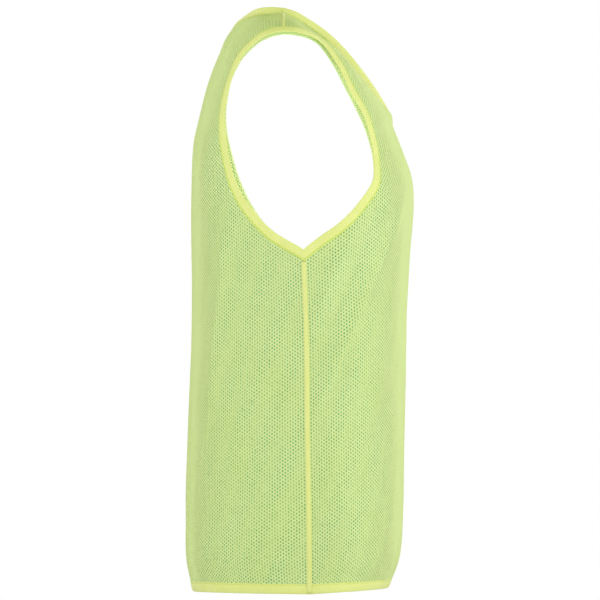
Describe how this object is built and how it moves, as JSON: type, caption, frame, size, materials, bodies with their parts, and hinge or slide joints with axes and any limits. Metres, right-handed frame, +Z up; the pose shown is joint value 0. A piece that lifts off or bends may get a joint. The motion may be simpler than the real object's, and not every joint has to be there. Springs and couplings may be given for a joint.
{
  "type": "reversible training bib",
  "caption": "Sleeveless reversible net training bib, filled out as worn, with bound neck, armholes and hem and open side-seamed body.",
  "frame": {"origin": "midway between the two straps, at the height of the shoulders that carry them", "axes": "+Z up, the front faces -Y, the right side of the wearer is at -X"},
  "size_m": [0.415, 0.2785, 0.7141],
  "materials": {
    "net_cloth": "Two plies of fine knitted net with small round holes, pale yellow outside over light green inside, matt.",
    "binding": "Folded knit binding strip, pale yellow, soft and matt, with a row of fine stitches.",
    "seam_tape": "Narrow raised seam in pale yellow thread and tape, matt."
  },
  "bodies": {
    "root": {"front_panel": "net_cloth", "back_panel": "net_cloth", "neck_binding": "binding", "armhole_binding_right": "binding", "armhole_binding_left": "binding", "hem_binding_front": "binding", "hem_binding_back": "binding", "side_seam_right": "seam_tape", "side_seam_left": "seam_tape", "shoulder_seam_right": "seam_tape", "shoulder_seam_left": "seam_tape"}
  },
  "joints": []
}
